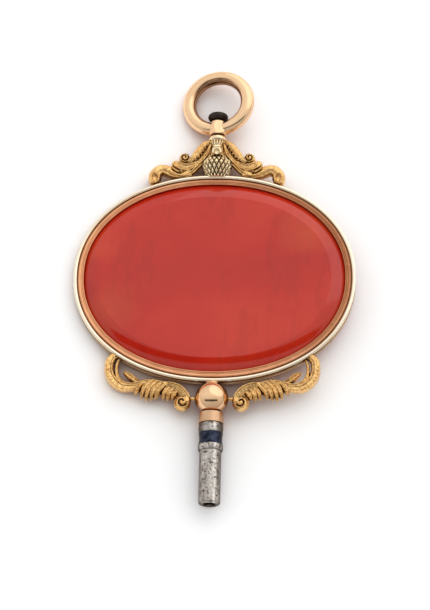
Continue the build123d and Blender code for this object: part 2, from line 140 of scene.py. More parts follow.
# One leaf lobe: share of its length, of its half width and of its half depth
blade_outline = (
    (0, 0.5, 0.75), (0.2, 0.8, 0.95), (0.45, 1.0, 1.0), (0.7, 0.9, 0.95), (0.88, 0.6, 0.8),
    (1, 0.22, 0.5),
)
blade_half_w = 0.54 * mm
blade_half_depths = (1.00 * mm, 0.92 * mm, 0.84 * mm)  # one after the other along the leaf
blade_bow = 0.13  # how far a lobe bows out, as a share of its length
# The tie from the ball: how far from the axis it starts, half its thickness, how low it lies
tie_start, tie_half, tie_sunk = 2.3 * mm, 0.28 * mm, 0.5 * mm

# The leaf under the collar in millimetres: distance below the collar, height over the middle
# plane, half width and half thickness
leaf_rows = [
    (0.20, 1.05, 0.84, 0.44), (0.55, 1.20, 0.78, 0.44), (0.95, 1.38, 0.64, 0.42),
    (1.45, 1.56, 0.60, 0.42), (1.95, 1.80, 0.76, 0.46), (2.40, 1.88, 0.76, 0.42),
]

# The hub: radius and distance from its foot in millimetres, then radius and distance from its top
hub_foot_rows = ((1.27, 0.0), (1.26, 0.25), (1.19, 0.90), (1.11, 1.60))
hub_top_rows = ((1.00, 0.12), (0.92, 0.0))
hub_bore_r = 0.60 * mm
hub_swell = 0.24 * mm  # how much fuller it is half way between its front, back and sides

# The stem: the rows of its skirt have the radius and the distance from its top in millimetres
stem_foot_r, stem_waist_r = 1.20 * mm, 0.98 * mm
stem_skirt_rows = ((0.98, 0.75), (1.32, 0.30), (1.36, 0.05))
stem_flutes, stem_flute_depth = 18, 0.16 * mm
stem_sunk, stem_overlap = 0.10 * mm, 0.05 * mm  # into the boss and into the collar

# The boss
boss_foot_r, boss_belly_r, boss_top_r = 1.575 * mm, 2.27 * mm, 1.45 * mm
boss_sunk, boss_overlap = 0.15 * mm, 0.05 * mm  # into the frame and into the stem
boss_belly_share = 0.62  # how far up it is widest
scale_columns, scale_rows = 18, 2.5
scale_line_depth, scale_line_power = 0.42 * mm, 3.6  # a high power makes a narrow line

# Bevel of the stone: inset from the edge of the frame and height over the middle plane in
# millimetres, and how far the polished surface leans there, in degrees
stone_bevel = [
    (3.60, 1.200, 0), (3.57, 1.200, 0), (3.55, 1.195, 19), (3.25, 1.130, 21.5), (2.95, 1.050, 24),
    (2.65, 0.965, 26.5), (2.42, 0.890, 28), (2.20, 0.820, 30), (2.00, 0.755, 32), (1.80, 0.685, 35),
    (1.62, 0.620, 38), (1.40, 0.500, 45), (1.25, 0.300, 60), (1.22, 0.100, 85),
]

# Section of the border round the stone in millimetres, inset and height: two flat bands and a
# fine lip, parted by cut lines
bezel_section = [
    (0.58, 0.45), (0.58, 0.60), (0.63, 0.76), (0.69, 0.83), (0.76, 0.85), (0.99, 0.85),
    (1.02, 0.82), (1.04, 0.76), (1.06, 0.82), (1.10, 0.85), (1.20, 0.85), (1.23, 0.82),
    (1.25, 0.77), (1.27, 0.86), (1.30, 0.91), (1.35, 0.93), (1.40, 0.93), (1.44, 0.90),
    (1.47, 0.84), (1.47, 0.45),
]

# The wire round the outer edge: inset of its middle, half its width, foot and top in millimetres
wire_section = (0.18, 0.27, 0.50, 0.95)


# Places


def edge_height(x):
    """How high the outer edge of the frame stands above its centre at a distance from the axis."""
    return semi_h * math.sqrt(1 - (x / semi_w) ** 2)


def crown_point(x_share, rise_share):
    x = x_share * crown_half_span
    return x, oval_y + edge_height(x) + rise_share * crown_height


def lower_point(x_share, drop_share):
    x = x_share * lower_half_span
    return x, oval_y - edge_height(x) - drop_share * lower_drop


# Chasing: each rule takes the length along in metres, the share along and the place across from
# -1 to 1, and gives how much the surface rises or sinks as a share of the half depth. Where it
# takes first and last, it works between these shares of the length.
flute_fade, mark_fade = 8, 12  # how quickly a rule fades in and out: 1 / fade of the length
flute_power = 1.5  # over 1 it leaves broad ridges between narrow flutes
bead_dip = 0.6  # how much of a bead's height lies below the surface, between the beads
pit_reach = 0.26  # of the pitch of the pits
lobe_power = 0.7  # under 1 it leaves broad lobes between narrow notches
# Waves of a hammered face: how many radians to a millimetre along, how many to the half width
# across, their share of the seed, and their share of the height
hammer_waves = ((5.1, 3.0, 1.0, 0.5), (9.7, -4.3, 2.1, 0.3), (17.3, 7.9, 3.7, 0.2))


def window(share, first, last, fade=mark_fade):
    """1 between two shares of the length and 0 outside them, with a soft start and end."""
    return np.clip((share - first) * fade, 0, 1) * np.clip((last - share) * fade, 0, 1)


def soft_line(across, place, width):
    """1 at a place across, and less the farther from it."""
    return np.exp(-(((across - place) / width) ** 2))


def fluted(count, depth, first=0.0, last=1.0):
    def rule(along, share, across):
        wave = 0.5 - 0.5 * np.cos(math.pi * count * (across + 1))
        return -depth * window(share, first, last, flute_fade) * wave**flute_power
    return rule


def dimpled(place, reach, width, depth):
    """One oval hollow in the middle: its place and reach as shares of the length."""
    def rule(along, share, across):
        room = 1 - ((share - place) / reach) ** 2 - (across / width) ** 2
        return -depth * np.clip(room, 0, 1) ** 0.5
    return rule


def grooved(place, width, depth):
    def rule(along, share, across):
        return -depth * soft_line(across, place, width)
    return rule


def beaded(place, width, pitch, height, first=0.0, last=1.0):
    def rule(along, share, across):
        swell = np.abs(np.sin(math.pi * along / pitch)) - bead_dip
        return height * window(share, first, last) * swell * soft_line(across, place, width)
    return rule


def pitted(place, width, pitch, depth, first=0.0, last=1.0):
    """Round pits in a row."""
    def rule(along, share, across):
        pit = soft_line((along / pitch) % 1, 0.5, pit_reach) * soft_line(across, place, width)
        return -depth * window(share, first, last) * pit
    return rule


def scalloped(side, pitch, depth, first=0.0, last=1.0):
    """Lobes along one edge: a rule for the width, not for the height."""
    def rule(along, share, across):
        notch = 1 - np.abs(np.sin(math.pi * along / pitch)) ** lobe_power
        return -depth * window(share, first, last) * notch * np.clip(side * across, 0, 1) ** 2
    return rule


def hammered(height, seed):
    def rule(along, share, across):
        return height * sum(
            np.sin(lengthwise * along / mm + crosswise * across + shift * seed) * strength
            for lengthwise, crosswise, shift, strength in hammer_waves
        )
    return rule


# Mesh building

tiny = 1e-12  # keeps a division from being one by nothing


def unit(vectors):
    return vectors / np.maximum(np.linalg.norm(vectors, axis=-1, keepdims=True), tiny)


def softened(values, power):
    """Values from -1 to 1 raised to a power, with their signs kept."""
    return np.sign(values) * np.abs(values) ** power


def smooth_rows(rows, steps=row_steps):
    """A smooth line through rows of numbers."""
    points = np.array(rows, float)
    ends = np.vstack([2 * points[0] - points[1], points, 2 * points[-1] - points[-2]])
    made = []
    for index in range(1, len(ends) - 2):
        before, here, there, after = ends[index - 1:index + 3]
        for step in range(steps):
            t = step / steps
            linear = (there - before) * t
            square = (2 * before - 5 * here + 4 * there - after) * t**2
            cube = (3 * here - before - 3 * there + after) * t**3
            made.append((2 * here + linear + square + cube) / 2)
    made.append(points[-1])
    return np.array(made)


def tube_faces(rings, columns, closed=False, ends=True):
    """Faces between rings of points. A closed tube joins its last ring to its first."""
    faces = []
    for ring in range(rings if closed else rings - 1):
        base, other = ring * columns, (ring + 1) % rings * columns
        for column in range(columns):
            after = (column + 1) % columns
            faces.append((base + column, base + after, other + after, other + column))
    if ends and not closed:
        faces.append(tuple(range(columns - 1, -1, -1)))
        faces.append(tuple(range((rings - 1) * columns, rings * columns)))
    return faces


def sweep(
    centres, across, up, half_w, half_h, rules, edges=(), square=0.75, sides=bar_sides, cap=1.0
):
    """A closed bar about a line: its section is a soft rectangle that the chasing rules cut.

    The rules shape its height and the edges its width. A low square makes sharper corners. The
    cap is how far its ends stand out, as a share of the half width there.
    """
    along = np.concatenate([[0], np.cumsum(np.linalg.norm(np.diff(centres, axis=0), axis=1))])
    tangent = unit(np.gradient(centres, axis=0))
    caps = []
    for end, sign in ((0, -1), (-1, 1)):
        rows = []
        for step in range(1, cap_steps + 1):
            turn = math.pi / 2 * step / cap_steps
            shrink = max(math.cos(turn), cap_tip)
            place = centres[end] + sign * tangent[end] * half_w[end] * cap * math.sin(turn)
            rows.append((place, across[end], up[end], half_w[end] * shrink, half_h[end] * shrink))
        caps.append(rows[::-1] if sign < 0 else rows)
    stations = caps[0] + list(zip(centres, across, up, half_w, half_h)) + caps[1]
    lengths = np.pad(along, cap_steps, "edge")[:, None]
    turn = 2 * math.pi * np.arange(sides) / sides
    flat, rise = softened(np.cos(turn), square), softened(np.sin(turn), square)

    def carved(rules):
        """1 and what the rules give together, at every point of the bar."""
        total = np.ones((len(stations), sides))
        for rule in rules:
            total += rule(lengths, lengths / along[-1], flat[None, :])
        return total

    wide, high = carved(edges) * flat, np.maximum(carved(rules), deepest) * rise
    points = [
        place + np.outer(wide[index] * width, side) + np.outer(high[index] * depth, upward)
        for index, (place, side, upward, width, depth) in enumerate(stations)
    ]
    return np.concatenate(points), tube_faces(len(stations), sides)


def flat_stroke(rows, rules=(), steps=row_steps, **section):
    """A bar along a line in the middle plane of the key."""
    line = smooth_rows(rows, steps)
    centres = np.column_stack([line[:, :2], np.full(len(line), mid_z)])
    tangent = unit(np.gradient(centres, axis=0))
    across = np.column_stack([-tangent[:, 1], tangent[:, 0], np.zeros(len(line))])
    up = np.tile([0.0, 0.0, 1.0], (len(line), 1))
    half_w, half_h = np.maximum(line[:, 2:], thinnest).T
    return sweep(centres, across, up, half_w, half_h, rules, **section)


# The spiral groove of a curl, in shares of its radius: where it starts, how much nearer to the
# middle it is after a turn, and how broad it is
groove_start, groove_step, groove_width = 1.06, 0.46, 0.085


def spiral_button(centre, radius, depth, start, dome=4.0, cut=0.5):
    """A round curl about the middle plane: a domed disc with a spiral groove in both faces.

    The groove starts in a direction in degrees and takes the cut share of the height. A high
    dome makes a flat disc with a round edge.
    """
    vertices = []
    for ring in range(2 * button_rings + 1):
        share = math.sin((1 - abs(ring / button_rings - 1)) * math.pi / 2)
        for column in range(button_columns):
            angle = 2 * math.pi * column / button_columns
            turns = (angle - math.radians(start)) / (2 * math.pi) % 1
            lines = [groove_start - groove_step * (turns + lap) for lap in range(2)]
            nearest = min(abs(share - line) for line in lines)
            groove = cut * math.exp(-((nearest / groove_width) ** 2))
            high = depth * max(1 - share**dome, 0) ** 0.5 * (1 - groove)
            vertices.append((
                centre[0] + radius * share * math.cos(angle),
                centre[1] + radius * share * math.sin(angle),
                mid_z + (high if ring <= button_rings else -high),
            ))
    faces = tube_faces(2 * button_rings + 1, button_columns, ends=False)
    return np.array(vertices), [(first, *others[::-1]) for first, *others in faces]


def oval_shell(section, closed=True):
    """A shell round the oval from the insets and heights of its section in millimetres."""
    turn = 2 * math.pi * np.arange(oval_columns) / oval_columns
    share_x = softened(np.cos(turn), 2 / oval_power)
    share_y = softened(np.sin(turn), 2 / oval_power)
    points = [
        np.column_stack([
            (semi_w - inset * mm) * share_x,
            oval_y + (semi_h - inset * mm) * share_y,
            np.full(oval_columns, mid_z + height * mm),
        ])
        for inset, height in section
    ]
    return np.concatenate(points), tube_faces(len(section), oval_columns, closed)


def turned_shell(profile, relief, columns, closed=False):
    """A body about the long axis from radius and place pairs. The relief sinks its surface."""
    points = []
    for radius, y in profile:
        for column in range(columns):
            turn = 2 * math.pi * column / columns
            reach = radius - relief(turn, y)
            points.append((reach * math.sin(turn), y, mid_z + reach * math.cos(turn)))
    return np.array(points), tube_faces(len(profile), columns, closed)


def joined(parts):
    """Several closed shells as one."""
    vertices, faces, offset = [], [], 0
    for points, polygons in parts:
        vertices.append(points)
        faces += [tuple(index + offset for index in polygon) for polygon in polygons]
        offset += len(points)
    return np.concatenate(vertices), faces


def mirrored(shell):
    """The same shell on the left side."""
    points, polygons = shell
    return points * [-1, 1, 1], [polygon[::-1] for polygon in polygons]


def flipped(shell):
    """The same shell on the back."""
    points, polygons = shell
    return points * [1, 1, -1] + [0, 0, 2 * mid_z], [polygon[::-1] for polygon in polygons]


def piece(name, shell, material, body, slot, *nodes, normals=None):
    """An object of the key, from a shell, that stands for CAD nodes."""
    points, polygons = shell
    mesh = bpy.data.meshes.new(name)
    mesh.from_pydata(points.tolist(), [], polygons)
    mesh.polygons.foreach_set("use_smooth", [True] * len(mesh.polygons))
    mesh.update()
    if normals:
        mesh.normals_split_custom_set_from_vertices(normals)
    made = bpy.data.objects.new(name, mesh)
    bpy.context.scene.collection.objects.link(made)
    mesh.materials.append(material)
    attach(made, body)
    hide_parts(*nodes)


# Finishes


class Nodes:
    """The nodes of a material or of the world, with short ways to add to them."""

    def __init__(self, owner):
        owner.use_nodes = True
        self.tree = owner.node_tree

    def add(self, kind, **settings):
        node = self.tree.nodes.new(kind)
        for key, value in settings.items():
            setattr(node, key, value)
        return node

    def put(self, value, socket):
        """A link, a colour or a number into a socket, whichever the value is."""
        if isinstance(value, bpy.types.NodeSocket):
            self.tree.links.new(value, socket)
        elif isinstance(value, tuple):
            socket.default_value = (*value, 1.0)
        else:
            socket.default_value = value

    def math(self, operation, *values):
        node = self.add("ShaderNodeMath", operation=operation)
        for value, socket in zip(values, node.inputs):
            self.put(value, socket)
        return node.outputs[0]

    def mix(self, factor, first, second):
        """The first colour where the factor is 0, and the second where it is 1."""
        node = self.add("ShaderNodeMix", data_type="RGBA")
        self.put(factor, node.inputs["Factor"])
        self.put(first, node.inputs["A"])
        self.put(second, node.inputs["B"])
        return node.outputs["Result"]

    def ramp(self, value, *stops):
        """Colours or levels at places from 0 to 1."""
        node = self.add("ShaderNodeValToRGB")
        elements = node.color_ramp.elements
        while len(elements) < len(stops):
            elements.new(0.5)
        for element, (place, colour) in zip(elements, stops):
            element.position = place
            if isinstance(colour, (int, float)):
                colour = (colour,) * 3
            element.color = (*colour, 1.0)
        self.put(value, node.inputs["Fac"])
        return node.outputs["Color"]

    def span(self, value, start, end, low=0.0, high=1.0, curve="LINEAR"):
        """From low to high while the value goes from start to end."""
        node = self.add("ShaderNodeMapRange", interpolation_type=curve)
        self.put(value, node.inputs["Value"])
        limits = {"From Min": start, "From Max": end, "To Min": low, "To Max": high}
        for socket, limit in limits.items():
            node.inputs[socket].default_value = limit
        return node.outputs["Result"]

    def hollow(self, reach, samples=8):
        """How open the surface is to the air: 0 in a deep recess, 1 in the open."""
        node = self.add("ShaderNodeAmbientOcclusion", samples=samples, only_local=False)
        node.inputs["Distance"].default_value = reach
        return node.outputs["AO"]


class Finish(Nodes):
    """A material whose nodes work in millimetres of the key's own frame."""

    def __init__(self, name, metallic=1.0):
        self.material = bpy.data.materials.new(name)
        super().__init__(self.material)
        self.shader = self.tree.nodes["Principled BSDF"]
        self.give(Metallic=metallic)
        scale = self.add("ShaderNodeVectorMath", operation="SCALE")
        scale.inputs["Scale"].default_value = 1 / mm
        self.put(self.add("ShaderNodeTexCoord").outputs["Object"], scale.inputs[0])
        self.place = scale.outputs[0]

    def give(self, **values):
        """Constant values on the shader's own sockets."""
        for key, value in values.items():
            self.shader.inputs[key.replace("_", " ")].default_value = value

    def colour(self, value):
        self.put(value, self.shader.inputs["Base Color"])

    def roughness(self, value):
        self.put(value, self.shader.inputs["Roughness"])

    def bump(self, *layers):
        """Heights from 0 to 1, each with its depth in millimetres."""
        normal = None
        for height, depth in layers:
            node = self.add("ShaderNodeBump")
            node.inputs["Strength"].default_value = 1.0
            node.inputs["Distance"].default_value = depth * mm
            self.put(height, node.inputs["Height"])
            if normal is not None:
                self.put(normal, node.inputs["Normal"])
            normal = node.outputs["Normal"]
        self.put(normal, self.shader.inputs["Normal"])

    def vector(self, operation, other, result="Vector"):
        """The place of the surface, in millimetres, worked with another vector."""
        node = self.add("ShaderNodeVectorMath", operation=operation)
        self.put(self.place, node.inputs[0])
        node.inputs[1].default_value = other
        return node.outputs[result]

    def stretched(self, x, y, z):
        return self.vector("MULTIPLY", (x, y, z))

    def away(self, place):
        """The distance from a place in millimetres."""
        return self.vector("DISTANCE", place, "Value")

    def along(self, direction, start, end):
        """0 to 1 between two distances in millimetres in a direction."""
        return self.span(self.vector("DOT_PRODUCT", direction, "Value"), start, end)

    def raised(self, start, end):
        """0 to 1 between two heights over the middle plane in millimetres."""
        return self.along((0, 0, 1), mid_z / mm + start, mid_z / mm + end)

    def noise(self, scale, detail=4.0, rough=0.55, place=None):
        """Uneven from 0 to 1. The scale is about how many lumps there are to a millimetre."""
        node = self.add("ShaderNodeTexNoise")
        self.put(place or self.place, node.inputs["Vector"])
        node.inputs["Scale"].default_value = scale
        node.inputs["Detail"].default_value = detail
        node.inputs["Roughness"].default_value = rough
        return node.outputs["Fac"]

    def cells(self, scale):
        """The distance from the nearest of many scattered points, so many to a millimetre."""
        node = self.add("ShaderNodeTexVoronoi", feature="F1")
        self.put(self.place, node.inputs["Vector"])
        node.inputs["Scale"].default_value = scale
        return node.outputs["Distance"]

    def uneven(self, value, amount, scale, detail=4.0):
        """The value with some noise added to it."""
        return self.math("ADD", value, self.math("MULTIPLY", self.noise(scale, detail), amount))

    def open_air(self, reach, closed, clear):
        """0 up to one openness of the surface, 1 from another. The reach is in millimetres."""
        return self.ramp(self.hollow(reach * mm), (closed, 0.0), (clear, 1.0))


# Painted shade: each gives how strong it is over a finish, and its colour


def ring_painted_shade(made):
    """Painted shade: brown on the inner face of the ring, and a paler reddish brown on its lower
    half for the shaded floor it reflects.
    """
    dark, pale = (0.20, 0.09, 0.04), (0.70, 0.28, 0.13)
    reach, shaded_flank_reach = 5.0, 0.5  # millimetres
    middle = tuple((ring_low + ring_high) / 2 / mm)
    distance = made.uneven(made.away(middle), 0.5, scale=0.8, detail=3.0)
    inner = made.ramp(made.math("DIVIDE", distance, reach), (0.80, 0.9), (0.88, 0.0))
    # The lower half of the wire, below the ring's plane, takes the painted reddish shade.
    normal = (-math.sin(ring_turn), 0, math.cos(ring_turn))
    plane = normal[2] * mid_z / mm
    shaded_flank = made.ramp(
        made.along(normal, plane - shaded_flank_reach, plane + shaded_flank_reach), (0.0, 0.75), (1.0, 0.0)
    )
    return made.math("MAXIMUM", inner, shaded_flank), made.mix(inner, pale, dark)


def ball_painted_shade(made):
    """Painted shade: brown round the flanks of the ball, below its top."""
    brown = (0.26, 0.10, 0.045)
    rise = made.uneven(made.raised(start=0.5, end=2.0), -0.25, scale=0.9)
    return made.ramp(rise, (0.0, 0.85), (0.55, 0.0)), brown


def border_painted_shade(made):
    """Painted shade that grows to the right and to the top of the border."""
    right_share, top_share = 0.70, 0.30
    brown = (0.36, 0.13, 0.055)
    right = made.along((1, 0, 0), -semi_w / mm, semi_w / mm)
    top = made.along((0, 1, 0), (oval_y - semi_h) / mm, (oval_y + semi_h) / mm)
    grown = made.math(
        "ADD", made.math("MULTIPLY", right, right_share), made.math("MULTIPLY", top, top_share)
    )
    grown = made.uneven(grown, 0.2, scale=0.9, detail=5.0)
    return made.ramp(grown, (0.55, 0.0), (1.0, 0.8)), brown


def gold(name, base, worn, dirt_and_shade, rough, dirt_and_shade_reach, scratch=0.004, painted_shade=None):
    """Gold with uneven tone, fine scratches, and brown dirt and painted shade where the air hardly
    reaches, with more painted shade where a function for it is given.

    rough is the middle roughness. dirt_and_shade_reach and scratch, a depth, are in millimetres.
    """
    made = Finish(name)
    tone = made.ramp(made.noise(0.35), (0.3, base), (0.7, worn))
    mottled = made.mix(made.ramp(made.noise(2.6, 6.0), (0.35, 0.0), (0.75, 0.35)), tone, worn)
    # Painted shade over parts of the gold, where a function for it is given
    if painted_shade:
        amount, shade_colour = painted_shade(made)
        mottled = made.mix(amount, mottled, shade_colour)
    # Brown dirt and painted shade where the air hardly reaches
    open_air = made.open_air(dirt_and_shade_reach, closed=0.15, clear=0.75)
    made.colour(made.mix(open_air, dirt_and_shade, mottled))
    made.roughness(made.ramp(made.noise(3.0, 5.0), (0.3, rough * 0.8), (0.7, rough * 1.35)))
    scratches = made.noise(14.0, 4.0, place=made.stretched(1.0, 0.25, 1.0))
    made.bump((made.noise(1.4, 3.0), scratch * 4), (scratches, scratch))
    return made.material


def chased_gold(name, light, dark):
    """Yellow gold, matted between the chased lines, with brown dirt and painted shade in the deep
    ones.
    """
    made = Finish(name)
    dirt_and_shade, brown = (0.045, 0.018, 0.007), (0.32, 0.13, 0.045)
    tone = made.ramp(made.noise(0.8, 5.0), (0.3, dark), (0.62, light))
    patches = made.ramp(made.noise(2.4, 6.0, 0.65), (0.50, 0.0), (0.70, 0.60))
    # Brown dirt and painted shade in the deep chased lines
    open_air = made.open_air(0.55, closed=0.32, clear=0.72)
    made.colour(made.mix(open_air, dirt_and_shade, made.mix(patches, tone, brown)))
    made.roughness(made.ramp(made.noise(4.0, 4.0), (0.3, 0.12), (0.7, 0.32)))
    made.bump((made.cells(5.0), 0.03), (made.noise(3.2, 5.0), 0.07))
    return made.material


# Orange clouds in the stone: place from the middle of the oval and reach in millimetres, amount
stone_glows = (((-15.5, -5.0), 9.0, 0.55), ((14.0, 7.0), 9.0, 0.6), ((-17.0, 4.0), 6.0, 0.3))


def stone():
    """Polished carnelian: red, faintly see-through, with soft orange clouds and fine veins."""
    made = Finish("carnelian", metallic=0.0)
    deep, middle, bright = (0.58, 0.020, 0.008), (0.63, 0.024, 0.009), (0.70, 0.040, 0.012)
    vein, orange = (0.36, 0.014, 0.008), (0.74, 0.095, 0.022)
    clouds = made.noise(0.045, 3.0, 0.5, made.stretched(1.0, 1.5, 1.0))
    body = made.ramp(clouds, (0.35, deep), (0.5, middle), (0.68, bright))
    lines = made.noise(0.16, 8.0, 0.65, made.stretched(1.2, 0.35, 1.0))
    body = made.mix(made.ramp(lines, (0.52, 0.0), (0.6, 0.22), (0.68, 0.0)), body, vein)
    for (x, y), reach, amount in stone_glows:
        distance = made.away((x, y + oval_y / mm, (mid_z + rim_top) / mm))
        share = made.math("DIVIDE", made.uneven(distance, reach * 0.9, scale=0.14), reach)
        body = made.mix(made.ramp(share, (0.4, amount), (1.0, 0.0)), body, orange)
    made.colour(body)
    made.give(Roughness=0.07, IOR=1.54, Subsurface_Weight=0.35, Subsurface_Scale=1.2 * mm)
    made.give(Subsurface_Radius=(1.0, 0.25, 0.12))
    made.bump((made.noise(0.12, 2.0), 0.01))
    return made.material


def worn_steel(name, unshaded_from, unshaded_to):
    """Grey steel with brown rust pits, a painted highlight streak along its length, and painted
    shade on its flanks.

    The painted shade on the flanks ends between two heights over the middle plane in millimetres.
    """
    made = Finish(name)
    dark, grey, bright = (0.20, 0.165, 0.135), (0.50, 0.455, 0.41), (0.72, 0.67, 0.61)
    painted_highlight_colour, shaded_flank = (0.86, 0.82, 0.76), (0.10, 0.075, 0.06)
    rust, dirt_and_shade = (0.07, 0.045, 0.03), (0.02, 0.016, 0.014)
    barrel_r = 1.6  # millimetres
    worn = made.noise(1.1, 8.0, 0.7, made.stretched(1.0, 0.45, 1.0))
    tone = made.ramp(worn, (0.36, dark), (0.50, grey), (0.64, bright))
    pits = made.ramp(made.noise(2.4, 10.0, 0.75), (0.40, 1.0), (0.49, 0.0))
    sideways = made.along((1, 0, 0), -barrel_r, barrel_r)
    # Painted highlight: a bright streak along the length, right of the middle
    painted_highlight = made.ramp(sideways, (0.62, 0.0), (0.70, 0.7), (0.76, 0.7), (0.80, 0.0))
    tone = made.mix(painted_highlight, tone, painted_highlight_colour)
    open_air = made.open_air(0.4, closed=0.3, clear=0.85)
    # Painted shade: brown flanks below the unshaded heights
    tone = made.mix(made.raised(unshaded_from, unshaded_to), shaded_flank, tone)
    made.colour(made.mix(open_air, dirt_and_shade, made.mix(pits, tone, rust)))
    made.roughness(made.ramp(made.noise(3.0, 5.0), (0.3, 0.30), (0.7, 0.5)))
    made.bump((made.noise(3.5, 8.0, 0.7), 0.03), (made.cells(5.0), 0.01))
    return made.material


def blued_steel():
    """Steel heat-blued to a deep navy, with painted shade taking it towards black low on its flanks
    and in its recesses.
    """
    made = Finish("blued_steel")
    black, navy, dirt_and_shade = (0.012, 0.014, 0.024), (0.055, 0.064, 0.105), (0.010, 0.009, 0.010)
    tone = made.ramp(made.noise(1.0, 6.0), (0.35, black), (0.6, navy))
    open_air = made.open_air(0.4, closed=0.3, clear=0.85)
    # Painted shade: dark below the given heights and where the air hardly reaches
    unshaded = made.math("MULTIPLY", made.raised(start=0.7, end=1.5), open_air)
    made.colour(made.mix(unshaded, dirt_and_shade, tone))
    made.roughness(made.ramp(made.noise(3.0, 4.0), (0.3, 0.25), (0.7, 0.4)))
    made.bump((made.noise(4.0, 6.0), 0.01))
    return made.material


def dark_steel():
    """Brown-black oxidised steel."""
    made = Finish("dark_steel", metallic=0.6)
    black, brown = (0.015, 0.010, 0.008), (0.065, 0.038, 0.026)
    made.colour(made.ramp(made.noise(3.0, 6.0), (0.35, black), (0.7, brown)))
    made.roughness(made.ramp(made.noise(4.0, 4.0), (0.3, 0.35), (0.7, 0.6)))
    made.bump((made.noise(6.0, 6.0), 0.02))
    return made.material


ring_gold = gold(
    "ring_gold", base=(0.94, 0.60, 0.34), worn=(0.99, 0.68, 0.41), dirt_and_shade=(0.20, 0.09, 0.04),
    rough=0.17, dirt_and_shade_reach=0.5, scratch=0.002, painted_shade=ring_painted_shade,
)
hub_gold = gold(
    "hub_gold", base=(0.92, 0.58, 0.32), worn=(0.97, 0.66, 0.39), dirt_and_shade=(0.20, 0.09, 0.04),
    rough=0.20, dirt_and_shade_reach=0.5,
)
collar_gold = gold(
    "collar_gold", base=(0.90, 0.68, 0.40), worn=(0.96, 0.78, 0.52), dirt_and_shade=(0.20, 0.10, 0.05),
    rough=0.16, dirt_and_shade_reach=0.4,
)
ball_gold = gold(
    "ball_gold", base=(0.90, 0.52, 0.28), worn=(0.96, 0.64, 0.38), dirt_and_shade=(0.20, 0.08, 0.04),
    rough=0.13, dirt_and_shade_reach=0.4, painted_shade=ball_painted_shade,
)
ferrule_gold = gold(
    "ferrule_gold", base=(0.60, 0.35, 0.20), worn=(0.74, 0.46, 0.28), dirt_and_shade=(0.16, 0.07, 0.03),
    rough=0.28, dirt_and_shade_reach=0.4,
)
rim_gold = gold(
    "rim_gold", base=(1.00, 0.81, 0.58), worn=(1.00, 0.91, 0.73), dirt_and_shade=(0.24, 0.12, 0.06),
    rough=0.16, dirt_and_shade_reach=0.2,
)
# Painted shade: a darker copy of the rim wire's gold for the wire on the back
shaded_back_gold = gold(
    "shaded_back_gold", base=(0.46, 0.29, 0.16), worn=(0.60, 0.42, 0.26), dirt_and_shade=(0.12, 0.06, 0.03),
    rough=0.30, dirt_and_shade_reach=0.6,
)
# Painted shade: the frame's side wall is given a near-black brown gold for the shadow it stands in
shaded_band_gold = gold(
    "shaded_band_gold", base=(0.30, 0.14, 0.07), worn=(0.44, 0.22, 0.11), dirt_and_shade=(0.08, 0.03, 0.015),
    rough=0.36, dirt_and_shade_reach=1.0,
)
bezel_gold = gold(
    "bezel_gold", base=(0.74, 0.33, 0.16), worn=(0.92, 0.46, 0.24), dirt_and_shade=(0.14, 0.05, 0.025),
    rough=0.34, dirt_and_shade_reach=0.22, scratch=0.012, painted_shade=border_painted_shade,
)
chased = chased_gold("chased_gold", light=(0.98, 0.62, 0.25), dark=(0.80, 0.45, 0.16))
pale_chased = chased_gold("pale_chased", light=(1.00, 0.84, 0.54), dark=(0.96, 0.70, 0.38))
carnelian = stone()
steel = worn_steel("worn_steel", unshaded_from=0.4, unshaded_to=1.25)
collar_steel = worn_steel("collar_steel", unshaded_from=0.9, unshaded_to=1.75)
blued = blued_steel()
oxidised = dark_steel()

node_finishes = {
    "suspension_ring": ring_gold,
    "pivot_pin": oxidised,
    "crown_collar": collar_gold,
    "frame_band": shaded_band_gold,
    "ball_saddle": ball_gold,
    "ball_upper_half": ball_gold,
    "ball_lower_half": ball_gold,
    "ferrule": ferrule_gold,
    "steel_collar": collar_steel,
    "key_barrel": steel,
    "tang_washer": steel,
    "blued_band": blued,
}
for node, finish in node_finishes.items():
    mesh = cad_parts[node].data
    mesh.materials.clear()
    mesh.materials.append(finish)


# Pieces that take the place of CAD nodes


def scroll_tools(place, band_w, depth):
    """What makes the bars and the curls of one scroll from their shares."""
    def bar(rows, *rules, **section):
        line = [(*place(x, y), w * band_w / 2, h * depth / 2) for x, y, w, h in rows]
        return flat_stroke(line, rules, **section)

    def button(centre_share, **shape):
        return spiral_button(place(*centre_share), **shape)

    return bar, button


def crown_side():
    """The scroll on the right shoulder: leaf with its volute, inner band, lobe, roll and tail."""
    bar, button = scroll_tools(crown_point, crown_band_w, crown_depth)
    pitch = 0.62 * mm
    return joined([
        bar(
            crown_leaf_shares,
            grooved(place=-0.25, width=0.10, depth=0.35),
            pitted(place=-0.62, width=0.20, pitch=pitch, depth=0.8, first=0.12, last=0.97),
            grooved(place=0.42, width=0.10, depth=0.18),
            hammered(0.03, seed=1),
            edges=[scalloped(side=-1, pitch=pitch, depth=0.32, first=0.1, last=0.98)],
        ),
        button(volute_share, radius=0.86 * mm, depth=1.06 * mm, start=-115),
        bar(
            crown_band_shares,
            fluted(count=3, depth=0.30, first=0.05, last=0.95),
            hammered(0.03, seed=2),
        ),
        bar(
            crown_lobe_shares,
            fluted(count=4, depth=0.32, first=0.05),
            hammered(0.03, seed=3),
        ),
        bar(crown_roll_shares, hammered(0.02, seed=4), sides=slim_sides),
        button(roll_eye_share, radius=0.42 * mm, depth=0.98 * mm, start=60, cut=0.8),
        bar(
            crown_tail_shares,
            fluted(count=2, depth=0.22, first=0.05, last=0.55),
            grooved(place=-0.45, width=0.12, depth=0.20),
            dimpled(place=0.93, reach=0.10, width=0.45, depth=0.5),
            hammered(0.05, seed=5),
            cap=0.5,
        ),
    ])


